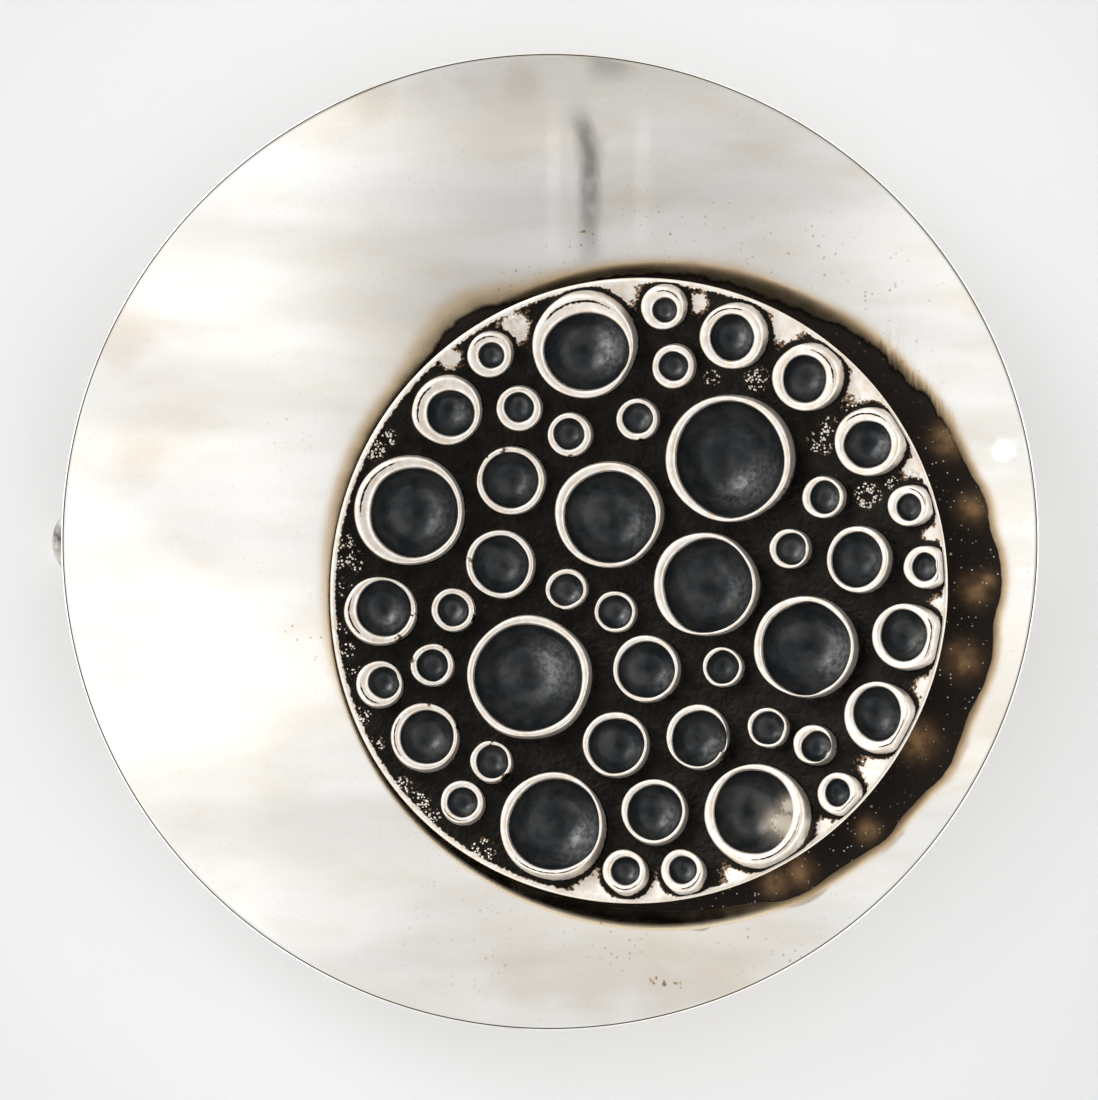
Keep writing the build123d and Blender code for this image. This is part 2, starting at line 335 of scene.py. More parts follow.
def face_place(x, y, h):
    """Places on the disc's face, or h over it, that pixels of the photograph show."""
    rim = np.full(np.shape(x), RIM_HEIGHT)
    seen = np.stack([DISH_AXIS_X + (x - DISH_MIDDLE_X) * pixel, (DISH_MIDDLE_Y - y) * pixel, rim], -1)
    ray = seen - camera_spot
    ray /= np.linalg.norm(ray, axis=-1, keepdims=True)
    to_ball = disc_ball - camera_spot
    along = ray @ to_ball
    off = to_ball @ to_ball - along**2
    reach = DISC_BOWL - h
    point = camera_spot + ray * (along + np.sqrt(reach**2 - off))[..., None]
    flat = (point - disc_ball) @ disc_turn * (DISC_BOWL / reach)
    return flat[..., 0], flat[..., 1]


def periodic(table, turns):
    """Values at turns, in straight lines between those of a table of (degrees, value)."""
    return np.interp(turns, *zip(*table), period=360)


def outline(turns, inset):
    """Pixels on the disc's outline at turns in degrees, drawn in by an inset."""
    stray = sum(periodic(OUTLINE_STRAY, turns + shift) for shift in range(-12, 13, 4)) / 7
    a = np.radians(turns)
    x = DISC_X + (DISC_HALF_WIDTH + stray - inset / pixel) * np.cos(a)
    y = DISC_Y - (DISC_HALF_HEIGHT + stray - inset / pixel) * np.sin(a)
    return x, y


def turns_of(x, y):
    """Turns in degrees, from the right, at which pixels lie about the disc's middle."""
    return np.degrees(np.arctan2((DISC_Y - y) / DISC_HALF_HEIGHT, (x - DISC_X) / DISC_HALF_WIDTH))


def edge_share(x, y, inset):
    """How far out pixels lie, as a share of the way from the disc's middle to its outline."""
    turns = turns_of(x, y)
    edge_x, edge_y = outline(turns, inset)
    return np.hypot(x - DISC_X, y - DISC_Y) / np.hypot(edge_x - DISC_X, edge_y - DISC_Y)


def kept_inside(x, y, inset):
    """Pixels moved towards the disc's middle where they pass its outline, drawn in by an inset."""
    share = np.maximum(1, edge_share(x, y, inset))
    return DISC_X + (x - DISC_X) / share, DISC_Y + (y - DISC_Y) / share


def from_cups(x, y):
    """How far pixels lie outside the nearest cup, in pixels."""
    apart = np.full(np.shape(x), 1e9)
    for cup_x, cup_y, wide, *_ in CUPS:
        apart = np.minimum(apart, np.hypot(x - cup_x, y - cup_y) - wide)
    return apart


def spots(x, y, table):
    """How strongly soft round spots, given as x, y and reach, cover pixels."""
    cover = np.zeros(np.shape(x))
    for spot_x, spot_y, reach in table:
        cover = np.maximum(cover, np.exp(-((x - spot_x) ** 2 + (y - spot_y) ** 2) / reach**2))
    return cover


class Skin:
    """A mesh gathered ring by ring: places, faces and painted values at each place."""

    def __init__(self, *paints):
        self.places = np.zeros((0, 3))
        self.faces = []
        self.paint = {name: np.zeros(0) for name in paints}

    def add(self, places, **paint):
        """Adds places and returns their numbers."""
        first = len(self.places)
        self.places = np.vstack([self.places, places])
        for name, values in self.paint.items():
            new = np.broadcast_to(paint.get(name, 0.0), len(places))
            self.paint[name] = np.append(values, new)
        return list(range(first, first + len(places)))

    def bridge(self, outer, inner):
        """Faces between two closed rings of as many places."""
        for k in range(len(outer)):
            after = (k + 1) % len(outer)
            self.faces.append((outer[k], outer[after], inner[after], inner[k]))

    def close(self, ring, middle):
        """Faces from a ring to one place in its middle."""
        for k in range(len(ring)):
            self.faces.append((ring[k], ring[(k + 1) % len(ring)], middle))

    def piece(self, name, place=None):
        """The mesh as an object, smooth, with its painted values as attributes."""
        places = place(*self.places.T) if place else self.places
        mesh = bpy.data.meshes.new(name)
        mesh.from_pydata((places * MM).tolist(), [], self.faces)
        for paint, values in self.paint.items():
            attribute = mesh.attributes.new(paint, "FLOAT", "POINT")
            attribute.data.foreach_set("value", values.astype(np.float32))
        mesh.polygons.foreach_set("use_smooth", [True] * len(mesh.polygons))
        mesh.update()
        made = bpy.data.objects.new(name, mesh)
        bpy.context.scene.collection.objects.link(made)
        return made


def ring(u, v, h):
    """Places of one ring, all at one height or each at its own."""
    return np.stack([u, v, np.broadcast_to(h, np.shape(u))], -1)


def wobble(rng, angles, size):
    """A hand-made circle's small strays, as factors of its radius."""
    stray = np.zeros(len(angles))
    for wave in range(2, 7):
        stray += rng.normal(0, size / wave) * np.cos(wave * angles + rng.uniform(0, 2 * math.pi))
    return 1 + stray


def cup_loops(reading, height, by_rim, angles, rng):
    """A cup's loops on the disc: two over the foot's round, the foot, the wall's outside and the mouth."""
    x, y, wide, tall, right, down, hollow_wide, hollow_tall = reading
    seat = face_place(np.array(x), np.array(y), 0)
    top = np.array(in_photo(on_disc(*seat, height))) - (x, y)
    lean = np.hypot(*top)
    hidden = lean / 3
    foot_x, foot_y = np.array([x, y]) - top / lean * hidden
    round_foot = wobble(rng, angles, 0.02)

    def foot_ring(grown, inset):
        ring_x = foot_x + ((wide - hidden) * round_foot + grown) * np.cos(angles)
        ring_y = foot_y - ((tall - hidden) * round_foot + grown) * np.sin(angles)
        return np.array(face_place(*kept_inside(ring_x, ring_y, inset), 0))

    root = CUP_FOOT_ROUND / pixel
    to_edge = EDGE_ROUND + CUP_TO_EDGE
    feet = [foot_ring(root, to_edge), foot_ring(root * 0.3, to_edge + CUP_TO_EDGE)]
    foot = foot_ring(0, to_edge + 2 * CUP_TO_EDGE)
    free = foot_ring(0, CUP_TO_EDGE)
    if not by_rim:
        drawn = BRIM_DRAWN * lean
        brim_x = x + BRIM_DRAWN * top[0] + (wide - drawn) * round_foot * np.cos(angles)
        brim_y = y + BRIM_DRAWN * top[1] - (tall - drawn) * round_foot * np.sin(angles)
        free = np.array(face_place(brim_x, brim_y, height))
    round_hollow = wobble(rng, angles, 0.025)
    hollow_x = x + right + hollow_wide * round_hollow * np.cos(angles)
    hollow_y = y + down - hollow_tall * round_hollow * np.sin(angles)
    hollow = np.array(face_place(hollow_x, hollow_y, height))
    wall = np.hypot(*(free - hollow))
    hollow = free + (hollow - free) * np.maximum(1, LEAST_WALL / wall)
    return feet, foot, free, hollow


def wall_rings(foot, free, hollow, height, outwards, by_rim, angles, rng):
    """Rings of a cup's wall as places, heights and polish, with painted shade on its lower flank, from the
    foot over the brim to the mouth.
    """
    wall = np.hypot(*(free - hollow))
    groove = np.clip(2.5 * np.cos(angles - outwards) - 1.3, 0, 1) * by_rim
    # Painted shade: the polish is lowered on each cup's lower flank, the side turned from the light
    stain_and_shade = rng.uniform(0.05, 0.35) * np.clip(np.cos(angles + 1.1 + rng.normal(0, 0.3)), 0, 1)
    patchy = (wobble(rng, angles, 0.25) - 1) * 0.4
    nicked = np.clip(wobble(rng, angles, 0.4) - 1.15, 0, 1) * (0 if by_rim else 0.9)
    rings = []
    for share, rise, polish in WALL:
        rest = foot + (free - foot) * min(1, rise / WALL_UPRIGHT)
        lip = LIP_DROP_PER_WALL * wall * max(0, share - LIP_DROP_FROM) ** 2
        scored = groove * 0.95 * (share == GROOVE_AT)
        flank = (stain_and_shade * (0.3 if by_rim else 1) + patchy) * np.clip((0.3 - share) / 0.2, 0, 1)
        at = rest + (hollow - rest) * share
        rings.append((at, rise * height - lip, polish - scored - flank - nicked, 0))
    return rings


def bowl_rings(hollow, mouth, angles, rng):
    """Rings of a cup's bowl, from under its mouth to its deepest place, which is the last."""
    middle = hollow.mean(1, keepdims=True)
    radius = np.hypot(*(hollow - middle)).mean()
    low = math.sqrt(BOWL_BALL_PER_RADIUS**2 - 1)
    circle = middle + radius * np.stack([np.cos(angles), np.sin(angles)])
    deepest = radius * rng.normal(0, 0.1, (2, 1))
    # Painted light: each bowl is lightened on one side, mostly the lower right, as if lit from the upper
    # left, by raising its hollow value over one
    painted_lit = rng.uniform(0.5, 1.3)
    painted_lit = painted_lit * np.clip(0.3 + 0.7 * np.cos(angles + rng.normal(0.4, 0.3)), 0, 1) ** 1.5
    rings = []
    for share in BOWL_RINGS:
        even = 1 - share**2
        at = middle + (hollow + (circle - hollow) * even - middle) * share
        drop = (math.sqrt(BOWL_BALL_PER_RADIUS**2 - share**2) - low) / (BOWL_BALL_PER_RADIUS - low)
        lip = mouth + (mouth.mean() - mouth) * even
        light = painted_lit * 2.4 * share * (1 - share)
        inside = min(1.0, 0.5 + 3 * (1 - share)) + light
        rings.append((at + deepest * even, lip - BOWL_DEPTH_PER_RADIUS * radius * drop, 0, inside))
    rings.append((middle + deepest, mouth.mean() - BOWL_DEPTH_PER_RADIUS * radius, 0, 1.0))
    return rings


def mesh_cup(skin, reading, rng):
    """One cup, from its foot on the ground to the bottom of its bowl. Returns the foot's ring."""
    x, y, wide = reading[:3]
    count = next(points for least, points in CUP_POINTS if wide > least)
    angles = np.arange(count) * 2 * math.pi / count
    height = CUP_LEAST_HEIGHT + CUP_HEIGHT_PER_RADIUS * wide * pixel
    by_rim = float(edge_share(x, y, 0)) > RIM_CUPS_FROM
    feet, foot, free, hollow = cup_loops(reading, height, by_rim, angles, rng)
    outwards = math.atan2(DISC_Y - y, x - DISC_X) + rng.normal(0, 0.4)
    rings = [(feet[0], 0, 0, 0), (feet[1], CUP_FOOT_ROUND * 0.3, 0, 0)]
    rings += wall_rings(foot, free, hollow, height, outwards, by_rim, angles, rng)
    wall = np.hypot(*(free - hollow))
    mouth = WALL[-1][1] * height - LIP_DROP_PER_WALL * wall * (1 - LIP_DROP_FROM) ** 2
    rings += bowl_rings(hollow, mouth, angles, rng)
    numbers = [skin.add(ring(*at, h), polish=polish, hollow=inside) for at, h, polish, inside in rings]
    for outer, inner in zip(numbers, numbers[1:-1]):
        skin.bridge(outer, inner)
    skin.close(numbers[-2], numbers[-1][0])
    return numbers[0], feet[0]


def hex_grid(spacing, reach):
    """Places of a honeycomb grid, in u and v."""
    rows = int(reach / (spacing * GRID_ROW)) + 1
    columns = int(reach / spacing) + 1
    u, v = np.meshgrid(np.arange(-columns, columns + 1), np.arange(-rows, rows + 1))
    return (u + 0.5 * (v % 2)).ravel() * spacing, v.ravel() * spacing * GRID_ROW


def inside_loop(u, v, loop):
    """Which places lie inside a loop."""
    inside = np.zeros(len(u), bool)
    for (au, av), (bu, bv) in zip(loop.T, np.roll(loop, -1, 1).T):
        crosses = (av > v) != (bv > v)
        step = (v - av) / (bv - av if bv != av else 1e-9)
        inside ^= crosses & (u < au + step * (bu - au))
    return inside


def triangles(u, v, loops):
    """Triangles between places, keeping to the closed loops given as place numbers."""
    edges = [(ids[k], ids[(k + 1) % len(ids)]) for ids in loops for k in range(len(ids))]
    points = [Vector(p) for p in zip(u, v)]
    _, _, faces, origin, _, _ = delaunay_2d_cdt(points, edges, [], 0, 1e-6)
    return np.array([[origin[k][0] for k in face] for face in faces])


def mesh_ground(skin, feet, edge_numbers, edge_loop):
    """The ground between the cups' feet and the edge's band."""
    u, v = hex_grid(GROUND_SPACING, GRID_REACH)
    keep = inside_loop(u, v, edge_loop * (1 - 0.6 * GROUND_SPACING / DISC_RADIUS))
    for _, loop in feet:
        middle = loop.mean(1, keepdims=True)
        grown = middle + (loop - middle) * (1 + 0.55 * GROUND_SPACING / np.hypot(*(loop - middle)))
        near = np.hypot(u - middle[0], v - middle[1]) < np.hypot(*(grown - middle)).max()
        near &= keep
        keep[near] = ~inside_loop(u[near], v[near], grown)
    rng = np.random.default_rng(11)
    u = u[keep] + rng.uniform(-GROUND_STRAY, GROUND_STRAY, keep.sum())
    v = v[keep] + rng.uniform(-GROUND_STRAY, GROUND_STRAY, keep.sum())
    numbers = skin.add(ring(u, v, np.zeros(len(u))))
    everything = [edge_numbers] + [ids for ids, _ in feet] + [numbers]
    order = np.concatenate(everything)
    place = {number: k for k, number in enumerate(order)}
    loops = [[place[n] for n in ids] for ids in everything[:-1]]
    flat = skin.places[order]
    faces = triangles(flat[:, 0], flat[:, 1], loops)
    middle = flat[faces].mean(1)
    wanted = inside_loop(middle[:, 0], middle[:, 1], edge_loop)
    for _, loop in feet:
        wanted &= ~inside_loop(middle[:, 0], middle[:, 1], loop)
    skin.faces += [tuple(int(order[k]) for k in face) for face in faces[wanted]]


def mesh_edge(skin):
    """The disc's rounded rim, from the ground over the edge to the back. Returns its first and last rings."""
    turns = np.arange(EDGE_POINTS) * 360 / EDGE_POINTS
    # Painted sheen: the side is tinted tan everywhere but the left, where the dish does not mirror it,
    # standing in for the warm light its polished side shows in the dish
    mirrored = np.clip(1.5 * np.cos(np.radians(turns + 20)) + 1.3, 0, 1)
    rings = []
    for inset, h, polish, tan in (
        (EDGE_ROUND, 0.0, 1.0, 0.0),
        (EDGE_ROUND * 0.6, -0.02, 1.0, 0.05),
        (EDGE_ROUND * 0.25, -0.06, 1.0, 0.3),
        (0.0, -EDGE_ROUND, 1.0, 0.9),
        (0.0, -0.35 * DISC_PLATE, 1.0, 1.0),
        (0.0, -0.5 * DISC_PLATE, 1.0, 1.0),
        (0.0, -0.65 * DISC_PLATE, 0.5, 0.9),
        (0.0, EDGE_ROUND - DISC_PLATE, -0.5, 0.5),
        (EDGE_ROUND * 0.25, 0.06 - DISC_PLATE, -0.5, 0.2),
        (EDGE_ROUND, -DISC_PLATE, -0.5, 0.0),
    ):
        u, v = face_place(*outline(turns, inset), h)
        rings.append(skin.add(ring(u, v, h), polish=polish, tan=tan * mirrored))
    for outer, inner in zip(rings[1:], rings):
        skin.bridge(outer, inner)
    return rings[0], rings[-1]


def back_height(u, v):
    """The height of the disc's back, with a dome behind each deep bowl."""
    h = np.full(len(u), -DISC_PLATE)
    for x, y, wide, _, right, down, hollow_wide, _ in CUPS:
        cup_u, cup_v = face_place(np.array(x + right), np.array(y + down), 0)
        height = CUP_LEAST_HEIGHT + CUP_HEIGHT_PER_RADIUS * wide * pixel
        bowl = hollow_wide * pixel
        ball = BOWL_BALL_PER_RADIUS * bowl + BOWL_FLOOR
        centre = height - BOWL_DEPTH_PER_RADIUS * bowl + BOWL_BALL_PER_RADIUS * bowl
        apart = np.minimum(np.hypot(u - cup_u, v - cup_v) / ball, 1)
        dome = centre - ball * np.sqrt(1 - apart**2)
        blend = np.clip(0.5 + 0.5 * (h - dome) / BACK_BLEND, 0, 1)
        h = h * (1 - blend) + dome * blend - BACK_BLEND * blend * (1 - blend)
    return h


def mesh_back(skin, edge_numbers):
    """The disc's back."""
    loop = skin.places[edge_numbers][:, :2].T
    u, v = hex_grid(BACK_SPACING, GRID_REACH)
    keep = inside_loop(u, v, loop * (1 - 0.5 * BACK_SPACING / DISC_RADIUS))
    u, v = u[keep], v[keep]
    numbers = skin.add(ring(u, v, back_height(u, v)))
    order = np.array(edge_numbers + numbers)
    flat = skin.places[order]
    faces = triangles(flat[:, 0], flat[:, 1], [list(range(len(edge_numbers)))])
    middle = flat[faces].mean(1)
    wanted = inside_loop(middle[:, 0], middle[:, 1], loop)
    skin.faces += [tuple(int(order[k]) for k in face[::-1]) for face in faces[wanted]]


def relief_disc():
    """The blackened disc with its cups."""
    skin = Skin("polish", "hollow", "bare", "speckle", "tan")
    rng = np.random.default_rng(5)
    feet = [mesh_cup(skin, reading, rng) for reading in CUPS]
    cup_places = len(skin.places)
    edge_numbers, back_numbers = mesh_edge(skin)
    mesh_ground(skin, feet, edge_numbers, skin.places[edge_numbers][:, :2].T)
    x, y = in_photo(on_disc(*skin.places.T))
    apart = from_cups(x, y)
    ground = (np.arange(len(x)) >= cup_places) & (skin.places[:, 2] > -0.1)
    skin.paint["polish"] -= 0.62 * spots(x, y, NICKED_CUPS) * ~ground
    to_rim = (1 - edge_share(x, y, 0)) * DISC_HALF_HEIGHT
    bare = np.minimum(spots(x, y, BARE_GROUND), np.clip((apart - 1) / 6, 0, 1))
    worn = np.where(ground, 0, 0.8 * spots(x, y, WORN_BOWLS))
    skin.paint["bare"] = np.maximum(bare, np.clip((7 - to_rim) / 4, 0, 1)) * ground + worn
    skin.paint["tan"] = np.maximum(skin.paint["tan"], worn)
    skin.paint["speckle"] = spots(x, y, SPECKLED_GROUND) * ground * np.clip(apart / 4, 0, 1)
    mesh_back(skin, back_numbers)
    return skin.piece("relief_disc", on_disc)


def lathe(skin, profile, count):
    """Rings of a profile of (radius, height) turned about Z. A radius of zero makes one place."""
    angles = np.arange(count) * 2 * math.pi / count
    before = None
    for radius, height in profile:
        around = angles if radius else angles[:1]
        made = skin.add(ring(radius * np.cos(around), radius * np.sin(around), height))
        if before and len(before) > 1 and len(made) > 1:
            skin.bridge(before, made)
        elif before and len(made) == 1:
            skin.close(before, made[0])
        elif before:
            skin.close(made[::-1], before[0])
        before = made


def dish_profile():
    """The dish's section: face, lip and back, from the middle out and back again."""
    lip_radius = DISH_RADIUS - DISH_LIP
    lip_angle = math.asin(lip_radius / DISH_BOWL)
    back_ball = DISH_BOWL + DISH_SHEET
    back_angle = math.asin(DISH_RADIUS / back_ball) - DISH_EDGE_ROUND / back_ball
    middle = DISH_FACE_HEIGHT + DISH_BOWL

    def arc(ball, angle, count):
        angles = [angle * k / count for k in range(count + 1)]
        return [(ball * math.sin(a), middle - ball * math.cos(a)) for a in angles]

    face = arc(DISH_BOWL, lip_angle, DISH_RINGS)[:-1]
    back = arc(back_ball, back_angle, DISH_BACK_RINGS)[::-1]
    lip_height = middle - DISH_BOWL * math.cos(lip_angle)
    lip = []
    for a in np.radians(np.linspace(0, 90, 6)):
        lip.append((lip_radius + DISH_LIP * math.sin(a), lip_height - DISH_LIP * (1 - math.cos(a))))
    under = []
    for a in np.radians(np.linspace(0, 90, 5)):
        drop = DISH_EDGE_ROUND * (1 - math.sin(a))
        under.append((DISH_RADIUS - (DISH_RADIUS - back[0][0]) * (1 - math.cos(a)), back[0][1] + drop))
    return face + lip + under + back[1:]


def beside_disc(x, y):
    """How far the black and how strongly the brown beside the disc cover pixels: tarnish, with painted shade
    and painted reflection.
    """
    turns = turns_of(x, y)
    away = (edge_share(x, y, 0) - 1) * DISC_HALF_HEIGHT
    border = sum(periodic(BLACK_BESIDE_DISC, turns + shift) for shift in (-1.5, 0, 1.5)) / 3
    softness, reach, strength = (periodic([(row[0], row[k]) for row in BROWN_BESIDE_DISC], turns) for k in (1, 2, 3))
    brown = strength * np.exp(-(np.maximum(0, away - np.maximum(border, 0)) / reach) ** 2)
    return np.clip((border - away) / softness, -5, 5), brown


def dish_bowl():
    """The polished dish."""
    spotted = {
        "reflected_lobe": REFLECTED_LOBES,
        "stain_and_shade": STAINED_DISH,
        "specked": SPECKED_DISH,
        "dusty": DUSTY_DISH,
        "brushed": BRUSHED_DISH,
    }
    skin = Skin("black", "brown", "smudge", "behind", "warm", *spotted)
    lathe(skin, dish_profile()[::-1], DISH_POINTS)
    skin.places[:, 0] += DISH_AXIS_X
    x, y = in_photo(skin.places)
    above = np.linalg.norm(skin.places - dish_ball, axis=1) < DISH_BOWL + DISH_SHEET / 2
    black, brown = beside_disc(x, y)
    skin.paint["black"] = np.where(above, black, -5)
    skin.paint["brown"] = np.where(above, brown, 0)
    for name, table in spotted.items():
        skin.paint[name] = spots(x, y, table)
    skin.paint["smudge"] = np.where(above, spots(x, y, SMUDGES), 0)
    skin.paint["warm"] = np.clip(0.6 + 0.5 * (x - DISH_MIDDLE_X) / DISH_WIDTH_PX * 2, 0, 1)
    skin.paint["behind"] = np.where(above, 0.0, 1.0)
    return skin.piece("dish_bowl")


def cut_out(piece, cutter):
    """A piece's mesh with the shape of another cut out of it."""
    cut = piece.modifiers.new("cut", "BOOLEAN")
    cut.operation = "DIFFERENCE"
    cut.solver = "EXACT"
    cut.object = cutter
    bpy.context.view_layer.update()
    seen = piece.evaluated_get(bpy.context.evaluated_depsgraph_get())
    mesh = bpy.data.meshes.new_from_object(seen)
    piece.modifiers.clear()
    piece.data = mesh
    mesh.set_sharp_from_angle(angle=math.radians(40))
    bpy.data.objects.remove(cutter)
    return piece


def under_dish(x, y, depth):
    """Heights at a depth below the dish's face."""
    reach = np.hypot(x - DISH_AXIS_X, y)
    return DISH_FACE_HEIGHT + DISH_BOWL - np.sqrt((DISH_BOWL + depth) ** 2 - reach**2)


def foot(name, middle_x, half_long, half_wide, squareness):
    """A foot from the floor into the dish's sheet, with a rounded lower edge and a line of solder on top."""
    skin = Skin("brown", "black")
    a = np.arange(FOOT_POINTS) * 2 * math.pi / FOOT_POINTS
    c, s = np.cos(a), np.sin(a)
    unit = (np.abs(c) ** squareness + np.abs(s) ** squareness) ** (-1 / squareness)

    def loop(grown):
        return middle_x + (half_long + grown) * unit * c, (half_wide + grown) * unit * s

    numbers = [skin.add(np.array([[middle_x, 0.0, 0.0]]))]
    for turn in np.radians(np.linspace(0, 90, 5)):
        x, y = loop(-FOOT_EDGE_ROUND * (1 - math.sin(turn)))
        numbers.append(skin.add(ring(x, y, FOOT_EDGE_ROUND * (1 - math.cos(turn)))))
    numbers.append(skin.add(ring(*loop(0), FOOT_WALL)))
    for share in (0.0, 0.4, 0.75, 1.0):
        x, y = loop(0)
        inside = np.clip((DISH_RADIUS - np.hypot(x - DISH_AXIS_X, y)) / 0.8 - 0.2, 0, 1)
        x, y = loop(FOOT_SOLDER * inside * share**2)
        drop = DISH_SHEET + FOOT_SOLDER * (1 - share) - 0.15 * share
        numbers.append(skin.add(ring(x, y, under_dish(x, y, drop))))
    level = under_dish(x, y, DISH_SHEET / 2)
    numbers.append(skin.add(ring(middle_x + 0.93 * (x - middle_x), 0.93 * y, level)))
    for outer, inner in zip(numbers[2:], numbers[1:]):
        skin.bridge(inner, outer)
    skin.close(numbers[1][::-1], numbers[0][0])
    top = skin.add(np.array([[middle_x, 0.0, under_dish(middle_x, 0.0, DISH_SHEET / 2)]]))
    skin.close(numbers[-1], top[0])
    skin.paint["brown"][:] = 0.12
    skin.paint["black"][:] = -0.4
    return skin.piece(name)


def bored(foot_piece, first_x, last_x, open_below):
    """A foot with a bore for the pin between two places along X, open to the floor or not."""
    skin = Skin()
    section = []
    for k in range(24):
        a = 2 * math.pi * k / 24
        z = PIN_HEIGHT + BORE_RADIUS * math.sin(a)
        if open_below and math.sin(a) < 0:
            z = -1.0
        section.append((BORE_RADIUS * math.cos(a), z))
    ends = [skin.add(np.array([(x, y, z) for y, z in section])) for x in (first_x, last_x)]
    skin.bridge(*ends[::-1])
    skin.faces.append(tuple(ends[1]))
    skin.faces.append(tuple(ends[0][::-1]))
    return cut_out(foot_piece, skin.piece("cutter"))


def catch():
    """The round foot whose outer side shows past the dish's left edge, slotted for the pin's point."""
    middle_x = DISH_AXIS_X - DISH_RADIUS - CATCH_OVERHANG + CATCH_RADIUS
    slot_end = middle_x + CATCH_RADIUS - CATCH_DEPTH
    return bored(foot("catch", middle_x, CATCH_RADIUS, CATCH_RADIUS, 2), slot_end, slot_end + 6, True)


def hinge():
    """The block foot at the right, bored for the pin's thick end."""
    middle_x = DISH_AXIS_X + DISH_RADIUS - HINGE_FROM_EDGE - HINGE_LENGTH / 2
    block = foot("hinge", middle_x, HINGE_LENGTH / 2, HINGE_WIDTH / 2, 5)
    first_x = middle_x - HINGE_LENGTH / 2
    return bored(block, first_x - 2, first_x + HINGE_DEPTH, False)


def on_peg(x, y, z):
    """Points of the peg, from places about its axis and heights over the dish's face."""
    side = np.cross(peg_axis, (0.0, 1.0, 0.0))
    side /= np.linalg.norm(side)
    other = np.cross(side, peg_axis)
    foot_spot = dish_ball - DISH_BOWL * peg_axis
    return foot_spot + np.stack([x, y, z], -1) @ np.array([-side, other, peg_axis])


def disc_peg():
    """The stem between the dish and the disc, with its riveted head behind the dish."""
    head = -DISH_SHEET - 0.05
    profile = [
        (0.0, head - PEG_HEAD_HEIGHT),
        (0.5 * PEG_HEAD, head - PEG_HEAD_HEIGHT * 0.97),
        (0.8 * PEG_HEAD, head - PEG_HEAD_HEIGHT * 0.8),
        (0.97 * PEG_HEAD, head - PEG_HEAD_HEIGHT * 0.45),
        (PEG_HEAD, head - PEG_HEAD_HEIGHT * 0.15),
        (0.96 * PEG_HEAD, head),
        (0.68 * PEG_STEM, head),
        (0.68 * PEG_STEM, 0.05),
        (PEG_STEM, 0.05),
        (1.02 * PEG_STEM, 0.2),
        (PEG_STEM, 0.4),
        (PEG_STEM, DISC_LIFT - 0.6),
        (1.05 * PEG_STEM, DISC_LIFT - 0.3),
        (1.25 * PEG_STEM, DISC_LIFT - 0.02),
        (1.3 * PEG_STEM, DISC_LIFT + 0.3 * DISC_PLATE),
        (0.0, DISC_LIFT + 0.3 * DISC_PLATE),
    ]
    skin = Skin("polish", "hollow", "bare", "speckle", "tan")
    lathe(skin, profile, 64)
    return skin.piece("disc_peg", on_peg)


def pin_wire():
    """The wire along X from the hinge's bore to its point in the catch."""
    left = DISH_AXIS_X - DISH_RADIUS - CATCH_OVERHANG + 2 * CATCH_RADIUS - CATCH_DEPTH + PIN_CLEARANCE
    right = DISH_AXIS_X + DISH_RADIUS - HINGE_FROM_EDGE - HINGE_LENGTH + HINGE_DEPTH - PIN_CLEARANCE
    profile = [(0.0, left), (0.6 * PIN_TIP, left + 0.02), (PIN_TIP, left + 0.1)]
    for share in (0.15, 0.35, 0.6, 0.85):
        radius = PIN_TIP + (PIN_RADIUS - PIN_TIP) * math.sin(share * math.pi / 2)
        profile.append((radius, left + PIN_POINT * share))
    profile += [(PIN_RADIUS, left + 1.1 * PIN_POINT + (right - left - 3) * k / 12) for k in range(13)]
    profile += [(PIN_RADIUS, right - 0.1), (PIN_RADIUS - 0.1, right), (0.0, right)]
    skin = Skin()
    lathe(skin, profile, 32)
    return skin.piece("pin_wire", lambda x, y, z: np.stack([z, y, PIN_HEIGHT - x], -1))


def feed(tree, made, inputs):
    """Gives a node its inputs, by name or number: plain values or other nodes' outputs."""
    for name, value in inputs.items():
        if isinstance(value, bpy.types.NodeSocket):
            tree.links.new(value, made.inputs[name])
        else:
            made.inputs[name].default_value = value


def node(tree, kind, inputs=None, **settings):
    """A new shader node with its settings and inputs."""
    made = tree.nodes.new("ShaderNode" + kind)
    for name, value in settings.items():
        setattr(made, name, value)
    feed(tree, made, inputs or {})
    return made


def maths(tree, operation, first, second=0.0):
    return node(tree, "Math", {0: first, 1: second}, operation=operation).outputs[0]


def times(tree, first, second):
    return maths(tree, "MULTIPLY", first, second)


def plus(tree, first, second):
    return maths(tree, "ADD", first, second)


def minus(tree, first, second):
    return maths(tree, "SUBTRACT", first, second)


def steps(tree, value, low, high, start=0.0, end=1.0):
    """A smooth step of a value from low to high."""
    inputs = {"Value": value, "From Min": low, "From Max": high, "To Min": start, "To Max": end}
    return node(tree, "MapRange", inputs, interpolation_type="SMOOTHSTEP").outputs[0]


def mixed(tree, share, first, second):
    """A colour between two."""
    return node(tree, "Mix", {0: share, 6: first, 7: second}, data_type="RGBA").outputs[2]


def painted(tree, name):
    return node(tree, "Attribute", attribute_name=name).outputs["Fac"]


def grain(tree, per_mm, detail, stretch=(1, 1, 1)):
    """Fine noise with a number of waves per millimetre."""
    place = node(tree, "TexCoord").outputs["Object"]
    if stretch != (1, 1, 1):
        place = node(tree, "Mapping", {"Vector": place, "Scale": stretch}).outputs[0]
    inputs = {"Vector": place, "Scale": per_mm / MM, "Detail": detail}
    return node(tree, "TexNoise", inputs).outputs["Fac"]


def bump(tree, height, strength, distance):
    """A normal bent by a height, as if that stood out by a distance in millimetres."""
    inputs = {"Height": height, "Strength": strength, "Distance": distance * MM}
    return node(tree, "Bump", inputs).outputs[0]


